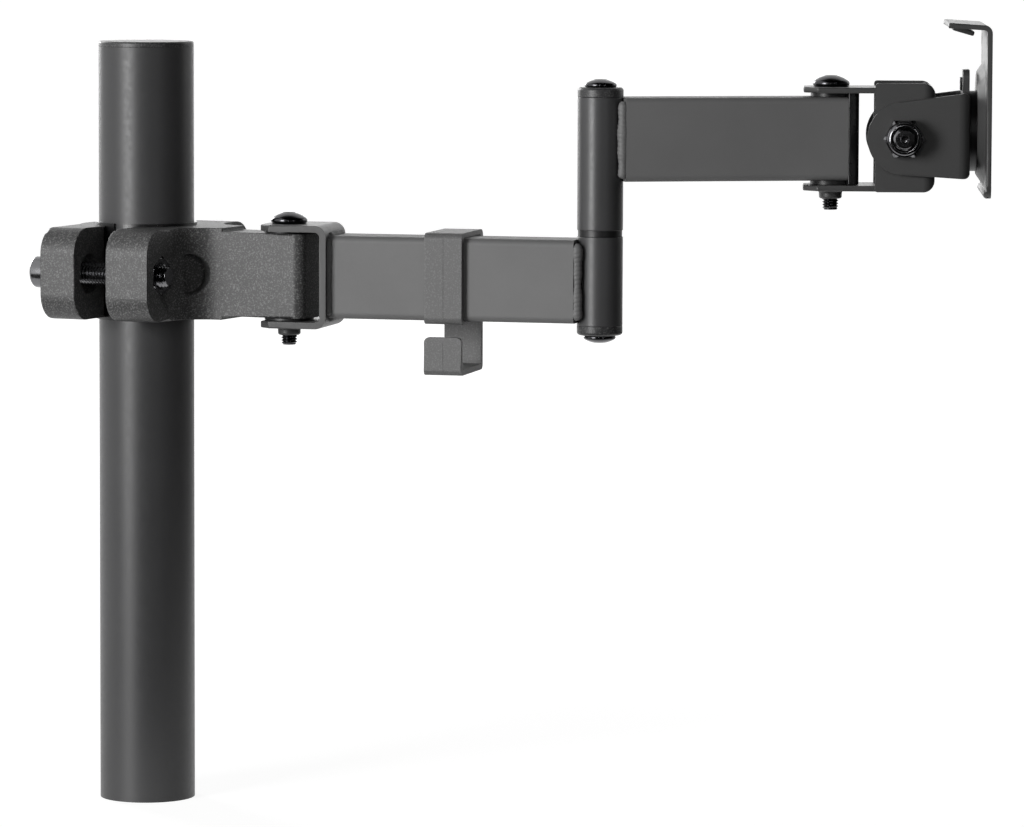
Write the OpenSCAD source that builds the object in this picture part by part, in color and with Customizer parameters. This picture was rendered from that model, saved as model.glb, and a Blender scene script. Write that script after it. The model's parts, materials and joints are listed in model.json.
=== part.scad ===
// Pole arm for a monitor: a collar turns and slides on a pole and carries two hinged
// arms and a head that swivels, tilts and rotates. Millimetres, +Z up, origin at the
// middle of the pole's foot. The head faces +X.

/* [Pole] */
// Length of the steel tube
pole_len = 278; // [240:1:450]
// Outer diameter of the pole
pole_d = 35; // [30:0.5:40]
// Wall of the pole
pole_wall = 1.5; // [1.2:0.1:3]
// Height of the plastic cap above the tube
cap_t = 2; // [1.5:0.1:4]
// Depth that the cap's skirt reaches into the tube
cap_skirt = 14; // [8:1:25]
// Length of the threaded plug in the foot
foot_plug_len = 20; // [12:1:40]
// Thread of the foot plug
foot_thread_d = 10; // [6:1:12]

/* [Liner] */
// Wall of the plastic liner between pole and collar
liner_t = 1; // [1:0.1:2.5]
// Amount that the liner stands out above and below the collar
liner_lip = 1; // [0.5:0.1:3]
// Gap between the two liner halves
liner_gap = 4; // [2:0.5:8]

/* [Collar] */
// Height of the collar's middle above the foot
collar_height = 195.8; // [90:0.1:200]
// Direction of the nose, turned from +X
collar_yaw = -22; // [-30:1:0]
// Height of the collar
collar_h = 33.5; // [32.5:0.5:40]
// Reach of the ears to each side of the pole's middle
ear_reach = 40; // [39:0.5:46]
// Rounding of the ears' ends
ear_round = 9.5; // [4:0.5:14]
// Thickness of the back half's ears
back_ear_t = 14; // [10:0.5:18]
// Thickness of the nose half's ears
nose_ear_t = 17; // [12:0.5:18]
// Open slit between the two halves
slit_w = 13; // [6:0.5:14]
// Slit's middle, behind the pole's middle
slit_back = 1.7; // [0:0.1:3]
// Wall around the liner
seat_wall = 6; // [4:0.5:7]
// Bolts' distance from the pole's middle
bolt_offset = 28.5; // [27.5:0.5:30]
// Diameter of the collar bolts
bolt_d = 8; // [6:0.5:8]
// Length that the bolts stand out past the nuts
bolt_stand_out = 3; // [1:0.5:8]
// Diameter of the tool recess beside the nose
recess_d = 14.4; // [8:0.1:15]
// Direction in which the recess opens, degrees from the nose
recess_turn = 42; // [30:1:55]
// Depth of the recess below the flank
recess_depth = 4.5; // [2:0.1:6]
// From the middle of the recess to its flat wall
recess_flat = 2.2; // [1:0.1:4]
// Depth of the round pocket that takes a bolt's head, in the back ear
bolt_pocket = 1.3; // [0.5:0.1:4]

/* [Nose] */
// Distance from the pole's middle to the first arm's axis
nose_reach = 59; // [57:0.5:70]
// Width of the nose
nose_w = 18; // [15:0.5:22]
// Height of the nose
nose_h = 30.8; // [28:0.1:32]
// Length of the nose past its axis
nose_tip = 9.5; // [8:0.5:11]
// Rounding of the nose's tip
nose_tip_round = 4; // [2:0.5:6]
// Hollow fillet between the ears and the nose
flank_round = 14; // [8:0.5:14]
// Outer diameter of the bush in the nose
bush_d = 10; // [8:0.5:12]

/* [Arms] */
// Height of the arm tubes
tube_h = 30; // [26:0.5:31]
// Width of the arm tubes
tube_w = 20; // [18:0.5:22]
// Wall of the arm tubes
tube_wall = 1.5; // [1.2:0.1:2]
// Outer rounding of the arm tubes' edges
tube_round = 2.3; // [2:0.1:3]
// First arm, from its axis to the elbow
arm_1_len = 116; // [105:1:250]
// Direction of the first arm, turned from +X
arm_1_yaw = -11; // [-20:1:0]
// Second arm, from the elbow to the head's axis
arm_2_len = 84.8; // [75:0.1:110]
// Direction of the second arm, turned from +X
arm_2_yaw = 13; // [0:1:20]
// Length of the second tube past the head's axis
arm_2_end = 4.1; // [3.8:0.1:5.5]

/* [Elbow] */
// Outer diameter of the elbow barrels
barrel_d = 16.5; // [15:0.5:18]
// Height of the first arm's barrel
lower_barrel_h = 32; // [31:0.5:36]
// Height of the second arm's barrel
upper_barrel_h = 47.6; // [46:0.2:60]
// Tube ends' distance from the elbow's axis
tube_stop = 7.5; // [6:0.1:8]
// Radius of the weld beads
weld_r = 2; // [1.2:0.1:2.5]
// Thickness of the washer between the barrels
elbow_washer_t = 2.4; // [1:0.1:4]
// Diameter of the elbow pin
pin_d = 10; // [9:0.5:10]
// Wall of the elbow bushes
elbow_bush_wall = 1.5; // [1:0.1:1.6]
// Height of the cap on top of the elbow
elbow_top_cap_h = 3.5; // [3:0.1:6]
// Height of the cap under the elbow
elbow_bottom_cap_h = 3.4; // [3:0.1:6]
// Head diameter of the elbow screws
elbow_head_d = 11.6; // [10:0.1:13]
// Head height of the elbow screws
elbow_head_h = 3.2; // [2.5:0.1:4]

/* [Folded brackets] */
// Thickness of the bracket sheet
sheet = 2.4; // [2:0.1:3]
// Outer radius of the sheet's bends
bend_r = 4.2; // [3.5:0.1:5]
// Width of the first arm's bracket
base_bracket_w = 27; // [24:0.5:30]
// Reach of the first arm's web from its axis
base_web_reach = 17.5; // [16:0.5:20]
// From the first arm's hinge to the free edge of its bracket's tabs
base_tab_reach = 8.2; // [7.5:0.1:10]
// From the swivel hinge to the free edge of its bracket's tabs
swivel_tab_reach = 10; // [9:0.1:11]
// Thickness of the washers at the nose
base_washer_t = 0.9; // [0.5:0.1:1.5]
// Diameter of the two axis screws
axis_screw_d = 6; // [5:0.5:6]
// Head diameter of the axis screws
axis_head_d = 13.3; // [12:0.1:14]
// Head height of the axis screws
axis_head_h = 4.4; // [3:0.1:5]
// Outer diameter of the drawn and tapped bosses
boss_d = 8.3; // [8:0.1:10]
// Length of the drawn bosses
boss_len = 3.2; // [2:0.1:5]

/* [Head] */
// Thickness of the washers at the swivel
swivel_washer_t = 1.6; // [1.2:0.05:2.5]
// Diameter of the swivel washers
swivel_washer_d = 14.8; // [13:0.1:17]
// Width of the swivel bracket's tabs
swivel_tab_w = 25; // [22:0.5:27]
// Outer width of the swivel bracket's ears
swivel_ear_w = 34; // [33:0.5:40]
// Thickness of the swivel bracket's sheet
swivel_sheet = 2; // [1.8:0.1:2.5]
// Height of the swivel bracket's ears
ear_h = 39; // [34:0.5:42]
// Height of the tilt axis, and of the ears' middle, above the middle of the second arm
head_rise = 0.85; // [0.5:0.05:1.5]
// Distance from the swivel's axis to the ears' free edges
ear_start = 15.7; // [14.5:0.1:16.5]
// Distance from the swivel's axis to the tilt axis
tilt_reach = 26; // [25.5:0.5:28]
// Tilt axis to the swivel bracket's web
swivel_web_reach = 11.2; // [10:0.1:12]
// Tilt axis to the tilt clevis's web
clevis_web_reach = 23.6; // [23:0.1:28]
// Rounding of the clevis cheeks at the tilt axis
cheek_r = 13.1; // [11:0.1:14]
// Clevis's height above the tilt axis at its web
clevis_up = 16; // [14:0.1:18]
// Clevis's depth under the tilt axis at its web
clevis_down = 14.5; // [13:0.1:18]
// Height of the stop tab on the clevis's web
stop_tab_h = 8.2; // [6:0.1:12]
// Width of the stop tab
stop_tab_w = 14; // [10:0.5:18]
// Thickness of the tilt's friction washers
tilt_washer_t = 1; // [0.6:0.1:1.6]
// Diameter of the tilt bolt
tilt_bolt_d = 8; // [6:0.5:8]

/* [Monitor plate] */
// Width of the plate
plate_w = 62; // [60:1:75]
// Height of the plate
plate_h = 61.8; // [55:0.1:75]
// Thickness of the plate
plate_t = 1.8; // [1.5:0.1:2.5]
// Corner rounding of the plate
plate_round = 5; // [3:0.5:8]
// Plate's rotation axis above the tilt axis
rotate_rise = 2; // [0:0.5:3]
// Plate's lower edge under the rotation axis
plate_drop = 23; // [22:0.5:26]
// Depth of the pressed pan
pan_depth = 2.8; // [2:0.1:4]
// Radius of the pan at the plate
pan_r = 22.7; // [22:0.1:23.2]
// Radius of the pan's flat floor
pan_floor_r = 18.7; // [18.5:0.1:20]
// Pan's middle above the rotation axis
pan_rise = 3; // [0:0.1:3]
// Length of the top flange behind the plate's face
flange_len = 15.7; // [13:0.1:20]
// Upward slope of the flange, in degrees
flange_slope = 3.5; // [0:0.5:6]
// Thickness of the friction disc behind the pan
disc_t = 2.6; // [1.5:0.1:3.5]
// Diameter of the friction disc
disc_d = 29; // [24:0.5:31]
// Diameter of the rivet's shank
rivet_d = 10; // [8:0.5:11]
// Spacing of the four screw holes, both ways
hole_spacing = 50; // [50:1:50]
// Diameter of the screw holes
hole_d = 4.5; // [4:0.1:5.5]

/* [Cable clip] */
// Clip's middle along the first arm
clip_at = 61; // [40:1:70]
// Clip's length along the arm
clip_len = 14; // [10:0.5:18]
// Clip's walls at the tube's sides
clip_side = 2.6; // [1.5:0.1:3.5]
// Clip's walls above and under the tube
clip_web = 1.3; // [1:0.1:2]
// How much thicker the clip is over the arm than under it, halved
clip_rise = 0.4; // [0:0.1:0.6]
// From the arm's middle plane to the back of the clip, with room for cables behind the arm
clip_rear = 19; // [16:0.5:22]
// Gap through which a cable goes into the hook
hook_mouth = 4.6; // [4:0.1:8]
// Height of the hook's front wall
hook_h = 13.8; // [10:0.1:18]
// Wall of the hook
hook_wall = 2; // [1.5:0.1:2.6]

/* [Hidden] */
$fn = 72;

running = 0.05;      // radial clearance of a turning fit
play = 0.05;         // end play between a turning piece and its washer
slip = 0.15;         // clearance of the clip on its tube
through = 0.25;      // radial clearance of a fastener in a plain hole
far = 100;           // longer than any cut needs to be

black = "#1d1e20";
cast_black = "#232426";
steel_black = "#151517";
plastic_black = "#202124";

pole_r = pole_d / 2;
pole_bore_r = pole_r - pole_wall;
liner_in_r = pole_r + running;
liner_out_r = liner_in_r + liner_t;
seat_r = liner_out_r + running;
seat_out_r = seat_r + seat_wall;

slit_front_x = slit_w / 2 - slit_back;
slit_back_x = -slit_w / 2 - slit_back;
ear_front_x = slit_front_x + nose_ear_t;
ear_back_x = slit_back_x - back_ear_t;
step_x = ear_front_x + flank_round;

nut_af = bolt_d * 1.625;
nut_t = bolt_d * 0.8125;
cap_head_d = bolt_d * 1.45;
cap_head_h = bolt_d;
collar_washer_t = 1.6;
collar_washer_d = bolt_d * 1.875;
bolt_seat_x = ear_back_x + bolt_pocket;

base_x = nose_reach * cos(collar_yaw);
base_y = nose_reach * sin(collar_yaw);
elbow_x = base_x + arm_1_len * cos(arm_1_yaw);
elbow_y = base_y + arm_1_len * sin(arm_1_yaw);
swivel_x = elbow_x + arm_2_len * cos(arm_2_yaw);
swivel_y = elbow_y + arm_2_len * sin(arm_2_yaw);
washer_top_z = lower_barrel_h / 2 + elbow_washer_t;
arm_2_z = collar_height + washer_top_z + upper_barrel_h - tube_h / 2;

base_tab_z = nose_h / 2 + play + base_washer_t;
swivel_tab_z = tube_h / 2 + play + swivel_washer_t;
axis_r = axis_screw_d / 2;

web_x = tilt_reach + swivel_web_reach;
ear_half_h = ear_h / 2;
rotate_z = head_rise + rotate_rise;
cheek_in = swivel_ear_w / 2 + tilt_washer_t;
cheek_out = cheek_in + sheet;
clevis_x = tilt_reach + clevis_web_reach;
pan_back_x = clevis_x + disc_t;
face_x = pan_back_x + plate_t + pan_depth;
plate_low = rotate_z - plate_drop;
plate_high = plate_low + plate_h;
pan_z = rotate_z + pan_rise;
tilt_r = tilt_bolt_d / 2;
tilt_nut_af = tilt_bolt_d * 1.625;
tilt_nut_h = tilt_bolt_d;
rivet_r = rivet_d / 2;
clip_front = tube_w / 2 + slip + clip_side;
clip_half_h = tube_h / 2 + slip + clip_web;
rib_t = 1.6;
clip_low = clip_rise - clip_half_h - hook_mouth - hook_h;

// Normal of the straight line that touches discs a and b on their outer side,
// when the discs are listed anticlockwise
function outer_normal(a, b) =
    let (d = [b[0] - a[0], b[1] - a[1]], turn = atan2(d[1], d[0]) - acos((a[2] - b[2]) / norm(d)))
    [cos(turn), sin(turn)];
function touch(disc, n) = [disc[0] + disc[2] * n[0], disc[1] + disc[2] * n[1]];

// Outline of a band stretched round discs [x, y, radius], listed anticlockwise
module band(discs) {
    n = len(discs);
    polygon([
        for (i = [0:n - 1], end = [0, 1])
            let (a = discs[i], b = discs[(i + 1) % n])
            touch(end == 0 ? a : b, outer_normal(a, b))
    ]);
    for (disc = discs) translate([disc[0], disc[1]]) circle(r = disc[2]);
}

// Rectangle w by h round the origin, with corner radius r
module rounded_rect(w, h, r) {
    x = w / 2 - r;
    y = h / 2 - r;
    band([[-x, -y, r], [x, -y, r], [x, y, r], [-x, y, r]]);
}

// Quarter of a ring in the +x +y quadrant
module bend_2d(r_out, t) {
    difference() {
        intersection() {
            circle(r = r_out);
            square(r_out);
        }
        circle(r = r_out - t);
    }
}

// Folded channel seen from its side: a web whose outer face is at x = reach, and two
// legs at y = +-half_h (outer) that reach back to x = back
module channel_2d(back, reach, half_h, t, r_out) {
    translate([reach - t, -half_h + r_out]) square([t, 2 * (half_h - r_out)]);
    for (side = [-1, 1]) scale([1, side]) {
        translate([reach - r_out, half_h - r_out]) bend_2d(r_out, t);
        translate([back, half_h - t]) square([reach - r_out - back, t]);
    }
}

// Stands a flat outline, drawn as x and z, up in the XZ plane, w thick round y = 0
module across_y(w) {
    translate([0, w / 2, 0]) rotate([90, 0, 0]) linear_extrude(w) children();
}

// Stands a flat outline, drawn as y and z, up in the YZ plane from x0 to x1
module along_x(x0, x1) {
    translate([x0, 0, 0]) rotate([90, 0, 90]) linear_extrude(x1 - x0) children();
}

module rod_x(r, x0, x1) {
    translate([x0, 0, 0]) rotate([0, 90, 0]) cylinder(r = r, h = x1 - x0);
}

module rod_y(r, y0, y1) {
    translate([0, y0, 0]) rotate([-90, 0, 0]) cylinder(r = r, h = y1 - y0);
}

module rod_z(r, z0, z1) {
    translate([0, 0, z0]) cylinder(r = r, h = z1 - z0);
}

module tube_z(r_out, r_in, z0, z1) {
    difference() {
        rod_z(r_out, z0, z1);
        rod_z(r_in, z0 - 1, z1 + 1);
    }
}

// Hexagonal prism along +z
module hex_z(af, h) {
    cylinder(r = af / sqrt(3), h = h, $fn = 6);
}

module both_ears() {
    for (side = [-1, 1]) translate([0, side * bolt_offset, 0]) children();
}

module collar_frame() {
    translate([0, 0, collar_height]) rotate([0, 0, collar_yaw]) children();
}

module arm_1_frame() {
    translate([base_x, base_y, collar_height]) rotate([0, 0, arm_1_yaw]) children();
}

module arm_2_frame() {
    translate([elbow_x, elbow_y, arm_2_z]) rotate([0, 0, arm_2_yaw]) children();
}

module swivel_frame() {
    translate([swivel_x, swivel_y, arm_2_z]) children();
}

module tilt_frame() {
    translate([swivel_x + tilt_reach, swivel_y, arm_2_z + head_rise]) children();
}

// Domed screw: shank from z = -shank_len to 0, head above, with a hexagonal socket
module domed_screw(head_d, head_h, shank_d, shank_len) {
    rim_r = head_h * 0.3;
    rim_x = head_d / 2 - rim_r;
    dome_r = (rim_x * rim_x + (head_h - rim_r) ^ 2 - rim_r * rim_r) / (2 * (head_h - 2 * rim_r));
    meet = dome_r / (dome_r - rim_r);
    meet_x = rim_x * meet;
    meet_z = head_h - dome_r + (rim_r - head_h + dome_r) * meet;
    difference() {
        union() {
            rod_z(shank_d / 2, -shank_len, 0);
            rotate_extrude() {
                square([rim_x, meet_z]);
                translate([rim_x, rim_r]) circle(r = rim_r);
                polygon([[rim_x, rim_r], [meet_x, meet_z], [rim_x, meet_z]]);
                intersection() {
                    translate([0, head_h - dome_r]) circle(r = dome_r);
                    translate([0, meet_z]) square([meet_x, head_h]);
                }
            }
        }
        translate([0, 0, head_h * 0.4]) hex_z(shank_d * 0.65, head_h);
    }
}

// Rectangular tube from x0 to x1
module box_tube(x0, x1) {
    along_x(x0, x1) difference() {
        rounded_rect(tube_w, tube_h, tube_round);
        rounded_rect(tube_w - 2 * tube_wall, tube_h - 2 * tube_wall, tube_round - tube_wall);
    }
}

// Boss drawn down out of a tab, with its fillet, from z = 0 down
module drawn_boss() {
    fillet = 1.4;
    nose = 0.9;
    rotate_extrude() difference() {
        union() {
            translate([axis_r, -boss_len + nose]) square([boss_d / 2 - axis_r, boss_len - nose]);
            translate([axis_r, -boss_len]) square([boss_d / 2 - axis_r - nose, boss_len]);
            translate([boss_d / 2 - nose, -boss_len + nose]) circle(r = nose);
            translate([axis_r, -fillet]) square([boss_d / 2 - axis_r + fillet, fillet]);
        }
        translate([boss_d / 2 + fillet, -fillet]) circle(r = fillet);
    }
}

module pole_tube() {
    color(black) tube_z(pole_r, pole_bore_r, 0, pole_len);
}

module pole_top_cap() {
    edge = 0.8;
    skirt_wall = 1.6;
    ribs = 8;
    color(plastic_black) translate([0, 0, pole_len]) {
        rotate_extrude() {
            square([pole_r - edge, cap_t]);
            square([pole_r, cap_t - edge]);
            translate([pole_r - edge, cap_t - edge]) circle(r = edge);
        }
        tube_z(pole_bore_r - 0.2, pole_bore_r - 0.2 - skirt_wall, -cap_skirt, 0);
        for (i = [0:ribs - 1]) rotate([0, 0, i * 360 / ribs])
            translate([pole_bore_r - 1, -0.6, -cap_skirt]) cube([1, 1.2, cap_skirt]);
    }
}

module pole_foot_plug() {
    color(steel_black) tube_z(pole_bore_r, foot_thread_d / 2, 0, foot_plug_len);
}

// One half of the liner; side is 1 towards the nose and -1 behind the pole
module liner_half(side) {
    half_h = collar_h / 2 + liner_lip;
    color(plastic_black) collar_frame() intersection() {
        tube_z(liner_out_r, liner_in_r, -half_h, half_h);
        translate([side > 0 ? slit_mid() + liner_gap / 2 : slit_mid() - liner_gap / 2 - far, -far, -far])
            cube([far, 2 * far, 2 * far]);
    }
}
function slit_mid() = -slit_back;

module liner_back_half() {
    liner_half(-1);
}

module liner_nose_half() {
    liner_half(1);
}

// Rounded ends of the ears, as a bar along x
module ear_bar(x0, x1) {
    along_x(x0, x1) rounded_rect(2 * ear_reach, collar_h, ear_round);
}

module collar_back_half() {
    pocket_d = nut_af + 1.5;
    pocket_h = 4;
    color(cast_black) collar_frame() difference() {
        intersection() {
            ear_bar(-seat_out_r, slit_back_x);
            union() {
                translate([ear_back_x, -ear_reach, -collar_h / 2])
                    cube([back_ear_t, 2 * ear_reach, collar_h]);
                rod_z(seat_out_r, -collar_h / 2, collar_h / 2);
            }
        }
        rod_z(seat_r, -far, far);
        both_ears() {
            rod_x(bolt_d / 2 + through, -far, 0);
            rod_x(pocket_d / 2, slit_back_x - pocket_h, slit_back_x + 1);
            rod_x(collar_washer_d / 2 + 0.4, -far, bolt_seat_x);
        }
    }
}

// Plan of the nose half's full-height part: ears, seat and hollow flanks
module nose_body_plan() {
    difference() {
        union() {
            translate([slit_front_x, -ear_reach]) square([nose_ear_t, 2 * ear_reach]);
            circle(r = seat_out_r);
            translate([0, -nose_w / 2 - flank_round]) square([step_x, nose_w + 2 * flank_round]);
        }
        for (side = [-1, 1]) translate([step_x, side * (nose_w / 2 + flank_round)]) circle(r = flank_round);
    }
}

// D-shaped recess in the flank on the -y side, square to the flank, with its flat wall towards the ear
module flank_recess() {
    translate([step_x, -nose_w / 2 - flank_round, 0]) rotate([0, 0, -recess_turn]) intersection() {
        rod_x(recess_d / 2, -flank_round - recess_depth, 0);
        translate([-far, -recess_flat, -far]) cube(2 * far);
    }
}

module collar_nose_half() {
    tip = nose_reach + nose_tip - nose_tip_round;
    half_w = nose_w / 2 - nose_tip_round;
    color(cast_black) collar_frame() difference() {
        union() {
            intersection() {
                ear_bar(slit_front_x, step_x);
                linear_extrude(collar_h, center = true) nose_body_plan();
            }
            linear_extrude(nose_h, center = true) {
                translate([slit_front_x, -nose_w / 2]) square([tip - slit_front_x, nose_w]);
                band([
                    [tip - 1, -half_w, nose_tip_round], [tip, -half_w, nose_tip_round],
                    [tip, half_w, nose_tip_round], [tip - 1, half_w, nose_tip_round]
                ]);
            }
        }
        rod_z(seat_r, -far, far);
        both_ears() {
            rod_x(bolt_d / 2 + through, 0, far);
            translate([ear_front_x - nut_t, 0, 0]) rotate([0, 90, 0]) hex_z(nut_af, nut_t + 1);
        }
        for (side = [0, 1]) mirror([0, side, 0]) flank_recess();
        translate([nose_reach, 0, 0]) rod_z(bush_d / 2, -far, far);
    }
}

module collar_bolts() {
    head_x = bolt_seat_x - collar_washer_t;
    edge = 1.2;
    color(steel_black) collar_frame() both_ears() {
        rod_x(bolt_d / 2, head_x, ear_front_x + bolt_stand_out);
        difference() {
            translate([head_x, 0, 0]) rotate([0, -90, 0]) rotate_extrude() {
                square([cap_head_d / 2, cap_head_h - edge]);
                square([cap_head_d / 2 - edge, cap_head_h]);
                translate([cap_head_d / 2 - edge, cap_head_h - edge]) circle(r = edge);
            }
            translate([head_x - cap_head_h, 0, 0]) rotate([0, 90, 0]) translate([0, 0, -1])
                hex_z(bolt_d * 0.75, bolt_d / 2 + 1);
        }
    }
}

module collar_nuts() {
    color(steel_black) collar_frame() both_ears() difference() {
        translate([ear_front_x - nut_t, 0, 0]) rotate([0, 90, 0]) intersection() {
            hex_z(nut_af, nut_t);
            rotate_extrude() polygon([
                [0, 0], [nut_af / sqrt(3), 0], [nut_af / sqrt(3), nut_t - 0.6], [nut_af / 2 - 0.4, nut_t], [0, nut_t]
            ]);
        }
        rod_x(bolt_d / 2, 0, far);
    }
}

module collar_washers() {
    color(steel_black) collar_frame() both_ears() difference() {
        rod_x(collar_washer_d / 2, bolt_seat_x - collar_washer_t, bolt_seat_x);
        rod_x(bolt_d / 2 + through, -far, 0);
    }
}

module nose_bush() {
    color(plastic_black) collar_frame() translate([nose_reach, 0, 0])
        tube_z(bush_d / 2, axis_r + running, -nose_h / 2, nose_h / 2);
}

// Plan of a tab with cut corners, from x = -reach to x = length
module tab_plan(w, reach, length) {
    cut = reach * 0.5;
    polygon([
        [-reach, -w / 2 + cut], [-reach + cut, -w / 2], [length, -w / 2],
        [length, w / 2], [-reach + cut, w / 2], [-reach, w / 2 - cut]
    ]);
}

module base_bracket() {
    half_h = base_tab_z + sheet;
    color(black) arm_1_frame() difference() {
        union() {
            intersection() {
                across_y(base_bracket_w) channel_2d(-base_tab_reach, base_web_reach, half_h, sheet, bend_r);
                translate([0, 0, -far / 2]) linear_extrude(far)
                    tab_plan(base_bracket_w, base_tab_reach, base_web_reach);
            }
            translate([0, 0, -half_h]) drawn_boss();
        }
        rod_z(axis_r + through, 0, far);
        rod_z(axis_r, -far, 0);
    }
}

module arm_1_tube() {
    color(black) arm_1_frame() difference() {
        box_tube(base_web_reach, arm_1_len - tube_stop);
        translate([arm_1_len, 0, 0]) rod_z(barrel_d / 2, -far, far);
    }
}

module arm_1_barrel() {
    color(black) arm_1_frame() translate([arm_1_len, 0, 0])
        tube_z(barrel_d / 2, pin_d / 2, -lower_barrel_h / 2, lower_barrel_h / 2);
}

// Upright weld beads in the corners between a tube's end, on the +x side, and the barrel
module barrel_welds() {
    seat_y = tube_w / 2 - weld_r - 0.3;
    difference() {
        for (side = [-1, 1]) translate([tube_stop - 0.6, side * seat_y, 0])
            rod_z(weld_r, -tube_h / 2 + tube_round, tube_h / 2 - tube_round);
        rod_z(barrel_d / 2, -far, far);
        translate([tube_stop, -far, -far]) cube(2 * far);
    }
}

module arm_1_welds() {
    color(black) arm_1_frame() {
        translate([arm_1_len, 0, 0]) mirror([1, 0, 0]) barrel_welds();
        difference() {
            union() {
                for (side = [-1, 1]) {
                    translate([base_web_reach, side * tube_w / 2, 0])
                        rod_z(weld_r - 0.4, -tube_h / 2 + tube_round, tube_h / 2 - tube_round);
                    translate([base_web_reach, 0, side * tube_h / 2])
                        rod_y(weld_r - 0.4, -tube_w / 2 + tube_round, tube_w / 2 - tube_round);
                }
            }
            translate([base_web_reach - 2 * far, -far, -far]) cube(2 * far);
            along_x(0, far) rounded_rect(tube_w, tube_h, tube_round);
        }
    }
}

module arm_2_welds() {
    color(black) arm_2_frame() barrel_welds();
}

module base_screw() {
    top = base_tab_z + sheet;
    color(steel_black) arm_1_frame() translate([0, 0, top])
        domed_screw(axis_head_d, axis_head_h, axis_screw_d, 2 * top + boss_len + 3.5);
}

module base_washers() {
    color(plastic_black) arm_1_frame() for (side = [0, 1]) mirror([0, 0, side])
        tube_z(nose_w / 2, axis_r, base_tab_z - base_washer_t, base_tab_z);
}

module elbow_pin() {
    low = -lower_barrel_h / 2;
    high = washer_top_z + play + upper_barrel_h + play;
    screw_depth = 16;
    color(steel_black) arm_1_frame() translate([arm_1_len, 0, 0]) difference() {
        rod_z(pin_d / 2, low, high);
        rod_z(axis_r, low - 1, low + screw_depth);
        rod_z(axis_r, high - screw_depth, high + 1);
    }
}

module elbow_washer() {
    color(plastic_black) arm_1_frame() translate([arm_1_len, 0, 0])
        tube_z(barrel_d / 2 - 0.3, pin_d / 2, lower_barrel_h / 2, washer_top_z);
}

// Cap at one end of the elbow: its closed face is at z = h
module elbow_cap(h) {
    edge = 1.2;
    rotate_extrude() difference() {
        union() {
            square([barrel_d / 2, h - edge]);
            square([barrel_d / 2 - edge, h]);
            translate([barrel_d / 2 - edge, h - edge]) circle(r = edge);
        }
        translate([-far, -1]) square([far + axis_r + through, h + 2]);
    }
}

module elbow_top_cap() {
    color(plastic_black) arm_1_frame()
        translate([arm_1_len, 0, washer_top_z + 2 * play + upper_barrel_h]) elbow_cap(elbow_top_cap_h);
}

module elbow_bottom_cap() {
    color(plastic_black) arm_1_frame()
        translate([arm_1_len, 0, -lower_barrel_h / 2]) mirror([0, 0, 1]) elbow_cap(elbow_bottom_cap_h);
}

module elbow_top_screw() {
    color(steel_black) arm_1_frame()
        translate([arm_1_len, 0, washer_top_z + 2 * play + upper_barrel_h + elbow_top_cap_h])
            domed_screw(elbow_head_d, elbow_head_h, axis_screw_d, elbow_top_cap_h + 12);
}

module elbow_bottom_screw() {
    color(steel_black) arm_1_frame()
        translate([arm_1_len, 0, -lower_barrel_h / 2 - elbow_bottom_cap_h]) mirror([0, 0, 1])
            domed_screw(elbow_head_d, elbow_head_h, axis_screw_d, elbow_bottom_cap_h + 12);
}

// Side view of the clip: a loop round the arm and a hook under it, drawn as y and z
module clip_profile() {
    back_in = clip_rear - clip_side;
    mid_y = (clip_rear - clip_front) / 2;
    corner = 2;
    difference() {
        union() {
            translate([mid_y, clip_rise]) rounded_rect(clip_rear + clip_front, 2 * clip_half_h, clip_side);
            translate([clip_rear - hook_wall, clip_low + corner]) square([hook_wall, -clip_low - corner]);
            translate([clip_rear - corner, clip_low + corner]) mirror([0, 1]) bend_2d(corner, hook_wall);
            translate([corner - clip_front, clip_low])
                square([clip_rear + clip_front - 2 * corner, hook_wall]);
            translate([corner - clip_front, clip_low + corner]) rotate(180) bend_2d(corner, hook_wall);
        }
        translate([(back_in - tube_w / 2 - slip) / 2, 0])
            rounded_rect(back_in + tube_w / 2 + slip, tube_h + 2 * slip, tube_round);
    }
    for (side = [-1, 1]) translate([tube_w / 2 + slip, side * tube_h / 4 - rib_t / 2])
        square([back_in - tube_w / 2 - slip + 0.5, rib_t]);
}

// Front wall of the hook, with rounded upper corners, from its bend upwards
module hook_front() {
    corner = 2;
    low = clip_low + corner;
    high = clip_rise - clip_half_h - hook_mouth;
    half = clip_len / 2;
    translate([clip_at, -clip_front + hook_wall / 2, 0]) across_y(hook_wall) {
        translate([-half, low]) square([clip_len, high - corner - low]);
        band([
            [-half + corner, high - corner - 1, corner], [half - corner, high - corner - 1, corner],
            [half - corner, high - corner, corner], [-half + corner, high - corner, corner]
        ]);
    }
}

module cable_clip() {
    color(plastic_black) arm_1_frame() {
        along_x(clip_at - clip_len / 2, clip_at + clip_len / 2) clip_profile();
        hook_front();
    }
}

module arm_2_tube() {
    color(black) arm_2_frame() difference() {
        box_tube(tube_stop, arm_2_len + arm_2_end);
        rod_z(barrel_d / 2, -far, far);
        translate([arm_2_len, 0, 0]) rod_z(bush_d / 2, -far, far);
    }
}

module arm_2_barrel() {
    top = tube_h / 2;
    color(black) arm_2_frame()
        tube_z(barrel_d / 2, pin_d / 2 + elbow_bush_wall, top - upper_barrel_h + play, top + play);
}

module elbow_bushes() {
    top = tube_h / 2 + play;
    bush_len = 14;
    color(plastic_black) arm_2_frame() for (low = [top - bush_len, top - upper_barrel_h])
        tube_z(pin_d / 2 + elbow_bush_wall, pin_d / 2 + running, low, low + bush_len);
}

module arm_2_spacer() {
    color(steel_black) arm_2_frame() translate([arm_2_len, 0, 0])
        tube_z(bush_d / 2, axis_r + running, -tube_h / 2, tube_h / 2);
}

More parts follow.
